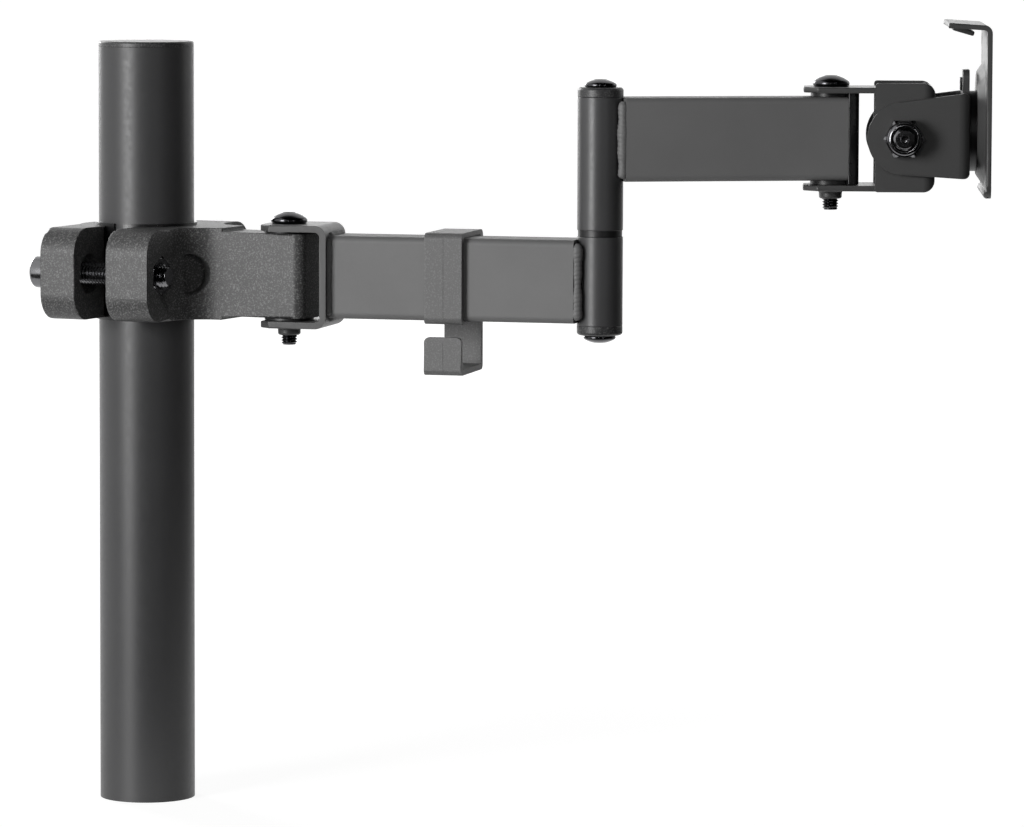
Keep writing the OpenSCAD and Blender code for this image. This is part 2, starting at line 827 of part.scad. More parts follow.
module arm_2_end_plug() {
    flange_t = 4.3;
    flange_h = 2 * swivel_tab_z - 0.4;
    insert_len = 14;
    insert_w = tube_w - 2 * tube_wall - 0.2;
    insert_h = tube_h - 2 * tube_wall - 0.2;
    x0 = arm_2_len + arm_2_end;
    color(plastic_black) arm_2_frame() difference() {
        union() {
            translate([0, 0, -flange_h / 2]) linear_extrude(flange_h)
                translate([x0 + flange_t / 2, 0]) rotate(90) band([
                    [-tube_w / 2 + 0.5, flange_t / 2 - 0.5, 0.5], [-tube_w / 2 + 2, -flange_t / 2 + 2, 2],
                    [tube_w / 2 - 2, -flange_t / 2 + 2, 2], [tube_w / 2 - 0.5, flange_t / 2 - 0.5, 0.5]
                ]);
            along_x(x0 - insert_len, x0) rounded_rect(insert_w, insert_h, 0.8);
        }
        along_x(x0 - insert_len - 1, x0 - 0.01) rounded_rect(insert_w - 3, insert_h - 3, 0.8);
        translate([arm_2_len, 0, 0]) rod_z(bush_d / 2 + 0.2, -far, far);
        for (side = [0, 1]) mirror([0, 0, side]) translate([arm_2_len, 0, 0])
            rod_z(swivel_washer_d / 2 + 0.3, tube_h / 2, far);
    }
}

// Blank of the swivel bracket's ears: a channel seen from above, cut to its side outline
module swivel_ears() {
    corner = bend_r;
    intersection() {
        translate([0, 0, -ear_half_h]) linear_extrude(2 * ear_half_h)
            channel_2d(ear_start, web_x, swivel_ear_w / 2, swivel_sheet, bend_r);
        across_y(swivel_ear_w + 2) band([
            [ear_start + 1, -ear_half_h + 1, 1], [web_x - corner, -ear_half_h + corner, corner],
            [web_x - corner, ear_half_h - corner, corner], [ear_start + 1, ear_half_h - 1, 1]
        ]);
    }
}

module swivel_bracket() {
    half_h = swivel_tab_z + swivel_sheet;
    color(black) swivel_frame() difference() {
        union() {
            intersection() {
                across_y(swivel_tab_w) channel_2d(-swivel_tab_reach, web_x, half_h, swivel_sheet, bend_r);
                translate([0, 0, -far / 2]) linear_extrude(far) tab_plan(swivel_tab_w, swivel_tab_reach, web_x);
            }
            translate([0, 0, head_rise]) swivel_ears();
            translate([0, 0, -half_h]) drawn_boss();
        }
        rod_z(axis_r + through, 0, far);
        rod_z(axis_r, -far, 0);
        translate([tilt_reach, 0, head_rise]) rod_y(tilt_r + running, -far, far);
    }
}

module swivel_screw() {
    top = swivel_tab_z + swivel_sheet;
    color(steel_black) swivel_frame() translate([0, 0, top])
        domed_screw(axis_head_d, axis_head_h, axis_screw_d, 2 * top + boss_len + 4);
}

module swivel_washers() {
    color(plastic_black) swivel_frame() for (side = [0, 1]) mirror([0, 0, side])
        tube_z(swivel_washer_d / 2, axis_r, swivel_tab_z - swivel_washer_t, swivel_tab_z);
}

module tilt_clevis() {
    corner = 2;
    tab_top = clevis_up + stop_tab_h;
    color(black) tilt_frame() difference() {
        union() {
            intersection() {
                translate([0, 0, -far / 2]) linear_extrude(far)
                    channel_2d(-cheek_r - 1, clevis_web_reach, cheek_out, sheet, bend_r);
                across_y(2 * cheek_out + 2) band([
                    [0, 0, cheek_r], [clevis_web_reach - corner, -clevis_down + corner, corner],
                    [clevis_web_reach - corner, clevis_up - corner, corner]
                ]);
            }
            along_x(clevis_web_reach - sheet, clevis_web_reach)
                translate([0, tab_top / 2]) rounded_rect(stop_tab_w, tab_top, 3);
            translate([0, 0, tab_top - 5.2]) rod_x(2.4, clevis_web_reach - sheet - 0.9, clevis_web_reach);
        }
        rod_y(tilt_r, -far, far);
        translate([0, 0, rotate_rise]) rod_x(rivet_r, 0, far);
    }
}

module tilt_bolt() {
    head_h = tilt_bolt_d * 0.66;
    end_y = -cheek_out - tilt_nut_h - 1.2;
    color(steel_black) tilt_frame() difference() {
        union() {
            rod_y(tilt_r, end_y + 0.8, cheek_out);
            translate([0, end_y + 0.8, 0]) rotate([90, 0, 0]) cylinder(r1 = tilt_r, r2 = tilt_r - 0.8, h = 0.8);
            translate([0, cheek_out, 0]) rotate([-90, 0, 0]) hex_z(tilt_nut_af, head_h);
        }
        translate([0, end_y - 0.01, 0]) rotate([-90, 0, 0]) cylinder(r1 = tilt_r * 0.5, r2 = 0, h = tilt_r * 0.5);
    }
}

module tilt_nut() {
    hex_h = tilt_nut_h * 0.72;
    collar_r = tilt_nut_af / 2 - 0.6;
    edge = 1;
    color(steel_black) tilt_frame() translate([0, -cheek_out, 0]) rotate([90, 0, 0]) difference() {
        union() {
            hex_z(tilt_nut_af, hex_h);
            rotate_extrude() {
                square([collar_r, tilt_nut_h - edge]);
                square([collar_r - edge, tilt_nut_h]);
                translate([collar_r - edge, tilt_nut_h - edge]) circle(r = edge);
            }
        }
        rod_z(tilt_r, -1, far);
    }
}

module tilt_washers() {
    washer_d = 22;
    color(plastic_black) tilt_frame() for (side = [0, 1]) mirror([0, side, 0]) difference() {
        rod_y(washer_d / 2, swivel_ear_w / 2, cheek_in);
        rod_y(tilt_r, 0, far);
    }
}

module plate_rivet() {
    tail_t = 1.2;
    head_t = 1.8;
    color(steel_black) swivel_frame() translate([0, 0, rotate_z]) {
        rod_x(rivet_r, clevis_x - sheet - tail_t, pan_back_x + plate_t + head_t);
        rod_x(rivet_r + 1.5, clevis_x - sheet - tail_t, clevis_x - sheet);
        rod_x(rivet_r + 2.5, pan_back_x + plate_t + play, pan_back_x + plate_t + head_t);
    }
}

module friction_disc() {
    color(plastic_black) swivel_frame() translate([0, 0, rotate_z]) difference() {
        rod_x(disc_d / 2, clevis_x, pan_back_x);
        rod_x(rivet_r, 0, far);
    }
}

// Side view of the plate: an upright sheet, its bend and the flange behind its top,
// with the latch tongue pressed down out of the flange. Drawn as x and z
module plate_profile() {
    bend_x = face_x - 3;
    translate([face_x - plate_t, plate_low]) square([plate_t, plate_h - 3]);
    translate([bend_x, plate_high - 3]) {
        bend_2d(3, plate_t);
        rotate(-flange_slope) translate([-flange_len + 3, 3 - plate_t]) square([flange_len - 3 + 0.4, plate_t]);
    }
    translate([face_x - 1.4, plate_low + 1.4]) circle(r = 1.4);
}

// Latch tongue: a strip of the flange bent down towards the plate, drawn as x and z
module tongue_profile() {
    translate([face_x - flange_len + 2.5, plate_high - 0.6]) rotate(-16) translate([0, -plate_t]) square([8, plate_t]);
}

module monitor_plate() {
    tongue_w = 16;
    mid_z = (plate_low + plate_high) / 2;
    color(black) swivel_frame() difference() {
        union() {
            intersection() {
                across_y(plate_w) plate_profile();
                along_x(0, far) translate([0, (plate_low + plate_high + 5) / 2])
                    rounded_rect(plate_w, plate_h + 5, plate_round);
            }
            across_y(tongue_w) tongue_profile();
            translate([pan_back_x, 0, pan_z]) rotate([0, 90, 0])
                cylinder(r1 = pan_floor_r, r2 = pan_r, h = pan_depth);
        }
        translate([pan_back_x + plate_t, 0, pan_z]) rotate([0, 90, 0])
            cylinder(r1 = pan_floor_r - plate_t / 2, r2 = pan_r - plate_t / 2, h = pan_depth);
        translate([0, 0, rotate_z]) rod_x(rivet_r + running, 0, far);
        for (y = [-1, 1], z = [-1, 1])
            translate([0, y * hole_spacing / 2, mid_z + z * hole_spacing / 2])
                rod_x(hole_d / 2, pan_back_x + plate_t, far);
    }
}

pole_tube();
pole_top_cap();
pole_foot_plug();
liner_back_half();
liner_nose_half();
collar_back_half();
collar_nose_half();
collar_bolts();
collar_nuts();
collar_washers();
nose_bush();
base_bracket();
arm_1_tube();
arm_1_barrel();
arm_1_welds();
base_screw();
base_washers();
elbow_pin();
elbow_washer();
elbow_top_cap();
elbow_bottom_cap();
elbow_top_screw();
elbow_bottom_screw();
cable_clip();
arm_2_tube();
arm_2_barrel();
arm_2_welds();
elbow_bushes();
arm_2_spacer();
arm_2_end_plug();
swivel_bracket();
swivel_screw();
swivel_washers();
tilt_clevis();
tilt_bolt();
tilt_nut();
tilt_washers();
plate_rivet();
friction_disc();
monitor_plate();
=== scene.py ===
"""Looks of a pole arm for a monitor, dressed over its CAD solids.

Lengths are metres in the part's own frame: +Z up, the origin at the middle of the
pole's foot, the head facing +X. Properties show millimetres through their units.
"""

import json
import math

import bmesh
import bpy
import numpy as np
from bpy.props import FloatProperty, FloatVectorProperty, IntProperty, PointerProperty
from bpy.types import Operator, Panel, PropertyGroup
from mathutils import Euler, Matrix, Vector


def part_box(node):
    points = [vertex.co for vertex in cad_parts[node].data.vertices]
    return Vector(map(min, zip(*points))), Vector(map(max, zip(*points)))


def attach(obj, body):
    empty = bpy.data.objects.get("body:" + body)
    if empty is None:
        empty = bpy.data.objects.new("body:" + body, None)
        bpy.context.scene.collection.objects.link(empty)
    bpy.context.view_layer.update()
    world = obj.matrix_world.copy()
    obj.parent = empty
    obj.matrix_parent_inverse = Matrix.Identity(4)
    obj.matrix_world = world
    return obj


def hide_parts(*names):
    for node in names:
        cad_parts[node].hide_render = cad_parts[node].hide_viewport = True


bl_info = {
    "name": "Pole Monitor Arm",
    "version": (1, 0, 0),
    "blender": (4, 5, 0),
    "location": "View3D > Sidebar > Monitor Arm",
    "description": "Dresses a collar, two hinged arms and a tilting plate on a pole",
    "category": "Add Mesh",
}

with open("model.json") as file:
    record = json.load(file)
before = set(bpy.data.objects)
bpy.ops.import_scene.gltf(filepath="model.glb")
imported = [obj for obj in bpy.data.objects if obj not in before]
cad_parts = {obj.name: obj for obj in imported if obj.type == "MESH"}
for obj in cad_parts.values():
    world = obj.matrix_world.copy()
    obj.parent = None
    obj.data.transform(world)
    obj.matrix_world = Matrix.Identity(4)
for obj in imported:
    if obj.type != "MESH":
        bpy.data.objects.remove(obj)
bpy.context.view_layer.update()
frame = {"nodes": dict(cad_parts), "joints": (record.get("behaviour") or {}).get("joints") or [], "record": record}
NODES = frame["nodes"]
JOINTS = {joint["name"]: joint for joint in frame["joints"]}
MM = 0.001


def linear(code):
    """An sRGB hex colour as linear red, green, blue and a full alpha."""
    shares = [int(code[i : i + 2], 16) / 255 for i in (1, 3, 5)]
    return [s / 12.92 if s <= 0.04045 else ((s + 0.055) / 1.055) ** 2.4 for s in shares] + [1.0]


def colour(name, description, code):
    """A colour for the sidebar, from its hex code."""
    return FloatVectorProperty(
        name=name, description=description, subtype="COLOR", size=4, min=0, max=1, default=linear(code)
    )


def length(name, description, mm):
    """A length for the sidebar, from its default in millimetres."""
    return FloatProperty(
        name=name, description=description, default=mm * MM, min=0, unit="LENGTH", subtype="DISTANCE"
    )


class ArmColours(PropertyGroup):
    """Colours of the coats, plastics and plated steel."""

    pole: colour("Pole", "Satin powder coat on the pole", "#3e3e3f")
    tube: colour("Box tubes", "Powder coat on the arms' box tubes", "#727272")
    barrel: colour("Barrels", "Powder coat on the elbow barrels", "#464647")
    sheet: colour("Folded sheet", "Powder coat on the brackets, the clevis and the plate", "#464646")
    casting: colour("Castings", "Sand-textured coat on the collar", "#404040")
    # Painted glints: a pale colour laid on the grains of the collar, the clip and the caps, standing in for the
    # light that the grains catch.
    painted_glint: colour("Flecks", "Light grains in the collar's coat", "#b0b0b0")
    plated: colour("Plated steel", "Black zinc plate on the bolts and nuts", "#767678")
    oxide: colour("Oxide steel", "Black oxide on the domed screws", "#48484a")
    clip: colour("Clip", "Matt ABS of the cable clip", "#686868")
    plug: colour("Plug", "Nylon of the tube's end plug and the bushes", "#121213")
    cap: colour("Caps", "Textured nylon of the caps", "#333334")
    washer: colour("Washers", "Acetal of the friction washers", "#1b1b1c")


class ArmSizes(PropertyGroup):
    """Sizes of the details that are added to the solids, and where the collar's bolts stand."""

    sheet_edge: length("Sheet edge", "Rounding of the coated sheet's cut edges", 0.6)
    casting_edge: length("Casting edge", "Rounding of the collar's edges", 1.0)
    plastic_edge: length("Plastic edge", "Rounding of the moulded pieces' edges", 0.5)
    barrel_edge: length("Barrel edge", "Chamfer at the ends of the barrels, the washers and the caps", 0.45)
    weld_radius: length("Weld radius", "Radius of a weld bead", 2.0)
    weld_step: length("Weld ripple", "Distance from one weld ripple to the next", 1.6)
    coarse_pitch: length("Coarse pitch", "Thread pitch of the eight millimetre bolts", 1.25)
    fine_pitch: length("Fine pitch", "Thread pitch of the six millimetre screws", 1.0)
    axis_head: length("Hinge head", "Width of the heads over the first hinge and the swivel", 13.3)
    axis_head_rise: length("Hinge head height", "Height of those heads", 4.4)
    elbow_head: length("Elbow head", "Width of the heads at the elbow's ends", 11.6)
    elbow_head_rise: length("Elbow head height", "Height of those heads", 3.2)
    bolt_offset: length("Bolt offset", "From the pole's axis plane to a collar bolt", 28.5)
    bolt_seat: length("Bolt seat", "From the pole's axis to the underside of a collar bolt's head", 22.5)
    bolt_reach: length("Bolt reach", "From the pole's axis to the far end of a collar bolt", 24.8)
    parting: length("Parting line", "Width of the ridge along the clip's parting line", 0.3)
    around: IntProperty(
        name="Steps around", description="Faces round a turned piece", default=72, min=24, max=160
    )


# ---------------------------------------------------------------- materials

CLOUD_SCALE, CLOUD_DEPTH = 28.0, 0.06  # clouds a few centimetres wide in a coat's colour
FINISHES = {}


def empty_tree(owner):
    """The node tree of a material or of the world, switched on and emptied."""
    owner.use_nodes = True
    owner.node_tree.nodes.clear()
    return owner.node_tree


def add(tree, kind, settings=None, links=None):
    """Adds a node; settings are properties or inputs by name or place, links are inputs' sources."""
    node = tree.nodes.new(kind)
    for key, value in (settings or {}).items():
        if isinstance(key, int) or key in node.inputs:
            node.inputs[key].default_value = value
        else:
            setattr(node, key, value)
    for key, source in (links or {}).items():
        tree.links.new(source, node.inputs[key])
    return node


def coat(name, base, rough, grain, bump, painted_glint=None, glint_share=0.0, metal=0.0):
    """A sprayed, moulded or plated surface: fine grain in its height and gloss, and faint clouding in
    its colour. grain is the grain's width in metres and bump its height. Where a glint colour is given,
    it is painted on the grains as pale painted glints that stand in for the light they catch, mixed in
    by the glint share at most."""
    material = bpy.data.materials.new(name)
    tree = empty_tree(material)
    place = add(tree, "ShaderNodeTexCoord").outputs["Object"]
    fine = add(
        tree, "ShaderNodeTexNoise", {"Scale": 0.5 / grain, "Detail": 3.0, "Roughness": 0.6}, {"Vector": place}
    )
    broad = add(
        tree, "ShaderNodeTexNoise", {"Scale": CLOUD_SCALE, "Detail": 3.0, "Roughness": 0.55}, {"Vector": place}
    )
    clouding = add(
        tree,
        "ShaderNodeMapRange",
        {"From Min": 0.3, "From Max": 0.7, "To Min": 1.0 - CLOUD_DEPTH, "To Max": 1.0 + CLOUD_DEPTH},
        {"Value": broad.outputs["Fac"]},
    )
    tone = add(
        tree,
        "ShaderNodeMix",
        {"data_type": "RGBA", "blend_type": "MULTIPLY", "Factor": 1.0, 6: base},
        {7: clouding.outputs["Result"]},
    )
    shade = tone.outputs[2]
    # Painted glints: a pale colour mixed in on the raised grains, standing in for the light they catch.
    if painted_glint:
        glint_mask = add(
            tree,
            "ShaderNodeMapRange",
            {"From Min": 0.5, "From Max": 0.66, "To Min": 0.0, "To Max": glint_share},
            {"Value": fine.outputs["Fac"]},
        )
        glinted = add(
            tree,
            "ShaderNodeMix",
            {"data_type": "RGBA", 7: painted_glint},
            {"Factor": glint_mask.outputs["Result"], 6: shade},
        )
        shade = glinted.outputs[2]
    gloss = add(
        tree,
        "ShaderNodeMapRange",
        {"From Min": 0.25, "From Max": 0.75, "To Min": rough - 0.05, "To Max": rough + 0.06},
        {"Value": fine.outputs["Fac"]},
    )
    relief = add(
        tree, "ShaderNodeBump", {"Strength": 1.0, "Distance": bump}, {"Height": fine.outputs["Fac"]}
    )
    surface = add(
        tree,
        "ShaderNodeBsdfPrincipled",
        {"Metallic": metal},
        {"Base Color": shade, "Roughness": gloss.outputs["Result"], "Normal": relief.outputs["Normal"]},
    )
    add(tree, "ShaderNodeOutputMaterial", links={"Surface": surface.outputs["BSDF"]})
    return material


def finishes():
    """Every finish, worked out once from the colours in the sidebar."""
    if FINISHES:
        return FINISHES
    c = bpy.context.scene.arm_colours
    made = {
        # Polyester powder coat, sprayed dry and baked on steel: satin, an orange peel too low to cast shade.
        "pole": coat("powder_coat_satin_tube", c.pole, 0.4, 0.9 * MM, 0.004 * MM),
        "tube": coat("powder_coat_box_section", c.tube, 0.56, 0.7 * MM, 0.005 * MM),
        "barrel": coat("powder_coat_turned_barrel", c.barrel, 0.36, 0.8 * MM, 0.006 * MM),
        "sheet": coat("powder_coat_folded_sheet", c.sheet, 0.42, 0.6 * MM, 0.004 * MM),
        # Sand-textured powder coat on die-cast aluminium: raised grains of a third of a millimetre, on which
        # pale painted glints stand in for the light they catch.
        "casting": coat("powder_coat_sand_on_die_cast", c.casting, 0.48, 0.3 * MM, 0.05 * MM, c.painted_glint, 0.42),
        # Black zinc plate and black oxide on rolled and turned steel: dark metal with hard highlights.
        "plated": coat("black_zinc_plate_on_steel", c.plated, 0.2, 0.5 * MM, 0.003 * MM, metal=1.0),
        "oxide": coat("black_oxide_on_steel", c.oxide, 0.2, 0.5 * MM, 0.003 * MM, metal=1.0),
        # ABS, moulded in a spark-eroded cavity: matt, with a sandy grain of a third of a millimetre and pale
        # painted glints on it.
        "clip": coat("abs_moulded_spark_grain", c.clip, 0.52, 0.28 * MM, 0.03 * MM, c.painted_glint, 0.22),
        # Nylon, moulded in a polished cavity for the plug and in a grained one for the caps, whose grain
        # carries pale painted glints.
        "plug": coat("nylon_moulded_smooth", c.plug, 0.3, 0.6 * MM, 0.003 * MM),
        "cap": coat("nylon_moulded_grained", c.cap, 0.4, 0.28 * MM, 0.03 * MM, c.painted_glint, 0.2),
        # Acetal, punched from sheet: waxy, faintly marked.
        "washer": coat("acetal_punched_sheet", c.washer, 0.4, 0.5 * MM, 0.004 * MM),
    }
    FINISHES.update(made)
    return FINISHES


NODE_FINISH = {
    "pole_tube": "pole",
    "pole_top_cap": "cap",
    "pole_foot_plug": "plated",
    "liner_back_half": "plug",
    "liner_nose_half": "plug",
    "collar_back_half": "casting",
    "collar_nose_half": "casting",
    "collar_bolts": "plated",
    "collar_nuts": "plated",
    "collar_washers": "plated",
    "nose_bush": "washer",
    "base_bracket": "sheet",
    "arm_1_tube": "tube",
    "arm_1_barrel": "barrel",
    "arm_1_welds": "tube",
    "base_screw": "oxide",
    "base_washers": "washer",
    "elbow_pin": "plated",
    "elbow_washer": "washer",
    "elbow_top_cap": "cap",
    "elbow_bottom_cap": "cap",
    "elbow_top_screw": "oxide",
    "elbow_bottom_screw": "oxide",
    "cable_clip": "clip",
    "arm_2_tube": "tube",
    "arm_2_barrel": "barrel",
    "arm_2_welds": "tube",
    "elbow_bushes": "washer",
    "arm_2_spacer": "plated",
    "arm_2_end_plug": "plug",
    "swivel_bracket": "sheet",
    "swivel_screw": "oxide",
    "swivel_washers": "washer",
    "tilt_clevis": "sheet",
    "tilt_bolt": "plated",
    "tilt_nut": "plated",
    "tilt_washers": "washer",
    "plate_rivet": "plated",
    "friction_disc": "washer",
    "monitor_plate": "sheet",
}
BODIES = frame["record"]["behaviour"]["bodies"]
BODY_OF = {node: body for body, nodes in BODIES.items() for node in nodes}


def dress(obj, finish):
    """Gives a piece one finish all over."""
    obj.data.materials.clear()
    obj.data.materials.append(finishes()[finish])


# ---------------------------------------------------------------- surfaces

JOIN, JOIN_CAD = 1e-7, 2e-6  # points of a surface, or of a solid, that lie this close are one point
EDGE_ANGLE = 30  # degrees between two faces, from which their edge is rounded


def mesh_object(name, points, quads):
    """A closed mesh from points and quads, with its doubles welded and its faces turned outwards."""
    mesh = bpy.data.meshes.new(name)
    mesh.from_pydata(points, [], quads)
    shape = bmesh.new()
    shape.from_mesh(mesh)
    bmesh.ops.remove_doubles(shape, verts=shape.verts, dist=JOIN)
    bmesh.ops.recalc_face_normals(shape, faces=shape.faces)
    shape.to_mesh(mesh)
    shape.free()
    mesh.shade_smooth()
    mesh.set_sharp_from_angle(angle=math.radians(35))
    obj = bpy.data.objects.new(name, mesh)
    bpy.context.scene.collection.objects.link(obj)
    return obj


def surface(name, *grids):
    """One mesh over grids of points, each rows by columns. The columns of a grid close on themselves,
    and a row of equal points closes an end."""
    points, quads, start = [], [], 0
    for grid in grids:
        rows, columns = grid.shape[:2]
        index = start + np.arange(rows * columns).reshape(rows, columns)
        index = np.concatenate([index, index[:, :1]], axis=1)
        corners = [index[:-1, :-1], index[:-1, 1:], index[1:, 1:], index[1:, :-1]]
        quads.append(np.stack(corners, axis=-1).reshape(-1, 4))
        points.append(grid.reshape(-1, 3))
        start += rows * columns
    return mesh_object(name, np.concatenate(points), np.concatenate(quads))


def axes(direction):
    """Two unit vectors square to a direction and to each other, and the direction itself."""
    w = np.array(direction, float)
    w /= np.linalg.norm(w)
    u = np.cross(w, (0, 0, 1) if abs(w[2]) < 0.9 else (0, 1, 0))
    u /= np.linalg.norm(u)
    return u, np.cross(w, u), w


def turned(rows, origin, direction, pitch=1.0 * MM, phase=0.0):
    """Grid of a turned, milled and threaded piece about an axis.

    Each row is (radius, height, width across flats, thread depth). At an angle t the radius is the
    smaller of the row's radius and the hexagon's, half the width across flats over the cosine of the
    angle from the nearest flat; the thread takes off its depth times a triangle wave of
    height / pitch - t / full turn. phase turns the hexagon, in radians.
    """
    rows = np.asarray(rows, float)
    t = np.linspace(0, 2 * np.pi, bpy.context.scene.arm_sizes.around, endpoint=False)[None, :]
    radius, height, flats, depth = (rows[:, i, None] for i in range(4))
    flat = flats / 2 / np.cos((t + phase + np.pi / 6) % (np.pi / 3) - np.pi / 6)
    reach = np.where(flats > 0, np.minimum(radius, flat), radius)
    wave = np.abs(2 * ((height / pitch - t / (2 * np.pi)) % 1) - 1)
    reach = reach - depth * np.clip(1.15 * wave - 0.05, 0, 1)
    return swept(origin, direction, reach, t, height)


def swept(origin, direction, reach, t, height):
    """Points at a distance reach from an axis, at the angle t round it and at a height along it."""
    u, v, w = axes(direction)
    return (
        np.asarray(origin, float)
        + reach[..., None] * (np.cos(t)[..., None] * u + np.sin(t)[..., None] * v)
        + (height + 0 * t)[..., None] * w
    )


def profile(*parts):
    """Rows of a turned piece, put together from lists and arrays of rows."""
    return np.concatenate([np.asarray(part, float) for part in parts])


def arc(centre_r, centre_z, radius, start, end, count):
    """Rows along a circular arc in the profile's plane, from one angle to another in degrees."""
    a = np.radians(np.linspace(start, end, count))
    flat = np.zeros_like(a)
    return np.stack([centre_r + radius * np.cos(a), centre_z + radius * np.sin(a), flat, flat], axis=1)


def thread(radius, low, high, pitch, taper):
    """Rows of a thread from low to high, eight to a pitch, with a taper cut at the low end."""
    z = np.arange(low, high, pitch / 8)
    share = np.clip((z - low) / taper, 0, 1)
    run_out = np.clip((high - z) / pitch, 0, 1)
    return np.stack([radius - (1 - share) * taper, z, 0 * z, 0.6 * pitch * share * run_out], axis=1)


def bead(start, end, radius, step, seed):
    """Grid of a weld bead from start to end: a circle carried along a line, whose radius swells by six
    hundredths at each ripple, slanted by the angle round it, wanders slowly, and closes in a quarter
    ellipse at both ends."""
    start, end = np.array(start, float), np.array(end, float)
    span = np.linalg.norm(end - start)
    s = np.linspace(0, 1, max(24, int(span / step * 10)))[:, None]
    t = np.linspace(0, 2 * np.pi, 28, endpoint=False)[None, :]
    along = s * span
    close = np.sqrt(np.clip(1 - np.clip(1 - np.minimum(along, span - along) / radius, 0, 1) ** 2, 0, 1))
    ripple = 0.06 * np.abs(np.sin(np.pi * (along / step + 0.3 * np.cos(t + seed))))
    wander = 0.09 * np.sin(along / step * 0.5 + seed) + 0.06 * np.sin(along / step * 1.3 + 2 * seed)
    return swept(start, end - start, radius * (0.85 + ripple + wander) * close, t, along)


def head_rows(width, rise, socket):
    """Profile of a low domed head from its underside up: a rounded rim, a dome that runs on from it,
    and a hexagonal socket with a chamfered mouth. The dome's radius follows from the rim's."""
    rim = 0.3 * rise
    rim_r = width / 2 - rim
    dome = (rim_r**2 + (rise - rim) ** 2 - rim**2) / (2 * (rise - 2 * rim))
    lean = math.degrees(math.atan2(rim - rise + dome, rim_r))
    mouth = socket * 0.62
    top = math.degrees(math.acos(mouth / dome))
    lip = rise - dome + math.sqrt(dome**2 - mouth**2)
    return profile(
        [[rim_r, 0, 0, 0]],
        arc(rim_r, rim, rim, -80, lean, 12),
        arc(0, rise - dome, dome, lean, top, 14),
        [[mouth * 0.99, lip - 0.02 * rise, 0, 0], [socket * 0.6, lip - 0.1 * rise, socket, 0]],
        [[socket * 0.6, rise * 0.4, socket, 0], [0.3 * socket, rise * 0.36, 0, 0], [0, rise * 0.34, 0, 0]],
    )


def eased(node, width, finish, segments=3):
    """A welded copy of a solid with its sharp edges rounded, which stands for the solid."""
    mesh = NODES[node].data.copy()
    mesh.name = node + "_eased"
    shape = bmesh.new()
    shape.from_mesh(mesh)
    bmesh.ops.remove_doubles(shape, verts=shape.verts, dist=JOIN_CAD)
    bmesh.ops.dissolve_limit(
        shape, angle_limit=math.radians(0.5), verts=shape.verts, edges=shape.edges, delimit={"NORMAL"}
    )
    shape.to_mesh(mesh)
    shape.free()
    if "custom_normal" in mesh.attributes:
        mesh.attributes.remove(mesh.attributes["custom_normal"])
    mesh.shade_smooth()
    obj = bpy.data.objects.new(node + "_eased", mesh)
    bpy.context.scene.collection.objects.link(obj)
    ease = obj.modifiers.new("edges", "BEVEL")
    ease.width, ease.segments = width, segments
    ease.limit_method, ease.angle_limit = "ANGLE", math.radians(EDGE_ANGLE)
    # Absolute offsets: the other kinds throw long spikes where two edges meet almost in line.
    ease.offset_type, ease.use_clamp_overlap = "ABSOLUTE", False
    flat = obj.modifiers.new("flat_faces", "WEIGHTED_NORMAL")
    flat.weight, flat.keep_sharp = 100, True
    stand_for(obj, finish, node)


def stand_for(obj, finish, node):
    """Puts a finished piece in a solid's place: hides the solid, gives the piece the finish, and hangs it on the
    solid's body.
    """
    dress(obj, finish)
    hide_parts(node)
    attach(obj, BODY_OF[node])


# Each arm's inner and outer hinge, and the joint whose height is the tube's middle.
ARM_JOINTS = {1: ("arm_1_swing", "elbow", "arm_1_swing"), 2: ("elbow", "head_swivel", "head_swivel")}


def collar_point(x, y):
    """A point given along the nose and across it, from the collar's middle on the pole's axis."""
    nose = np.array(JOINTS["arm_1_swing"]["pos_m"][:2])
    nose = nose / np.linalg.norm(nose)
    middle = JOINTS["arm_1_swing"]["pos_m"][2]
    return np.array([nose[0] * x - nose[1] * y, nose[1] * x + nose[0] * y, middle])


def arm_point(number, x, y, z):
    """A point given along an arm from its inner hinge, across it and up from the tube's middle."""
    inner, outer, level = (JOINTS[name]["pos_m"] for name in ARM_JOINTS[number])
    way = np.array(outer[:2]) - np.array(inner[:2])
    way = way / np.linalg.norm(way)
    return np.array([inner[0] + way[0] * x - way[1] * y, inner[1] + way[1] * x + way[0] * y, level[2] + z])


# ---------------------------------------------------------------- operators

M6, M8, M8_FLATS = 6 * MM, 8 * MM, 13 * MM
M8_CORNER = M8_FLATS / math.sqrt(3)
SLIT = 0.02 * MM  # clearance that keeps a nut's bore off its bolt


class ARM_OT_coats(Operator):
    """Gives every solid its coat, plate or plastic"""

    bl_idname = "arm.coats"
    bl_label = "Coats and plastics"

    def execute(self, context):
        for name, finish in NODE_FINISH.items():
            dress(NODES[name], finish)
        return {"FINISHED"}


class ARM_OT_edges(Operator):
    """Rounds the edges of the folded sheet, the castings and the mouldings"""

    bl_idname = "arm.edges"
    bl_label = "Rounded edges"

    def execute(self, context):
        sizes = context.scene.arm_sizes
        for node in ("base_bracket", "swivel_bracket", "tilt_clevis", "monitor_plate"):
            eased(node, sizes.sheet_edge, "sheet")
        for node in ("collar_back_half", "collar_nose_half"):
            eased(node, sizes.casting_edge, "casting")
        for node in ("arm_1_barrel", "arm_2_barrel"):
            eased(node, sizes.barrel_edge, "barrel", 2)
        for node in ("elbow_washer", "swivel_washers", "base_washers", "tilt_washers"):
            eased(node, sizes.barrel_edge / 2, "washer", 2)
        for node in ("elbow_top_cap", "elbow_bottom_cap", "pole_top_cap"):
            eased(node, sizes.barrel_edge, "cap", 2)
        eased("arm_2_end_plug", sizes.plastic_edge, "plug", 2)
        eased("collar_washers", sizes.barrel_edge, "plated", 2)
        return {"FINISHED"}


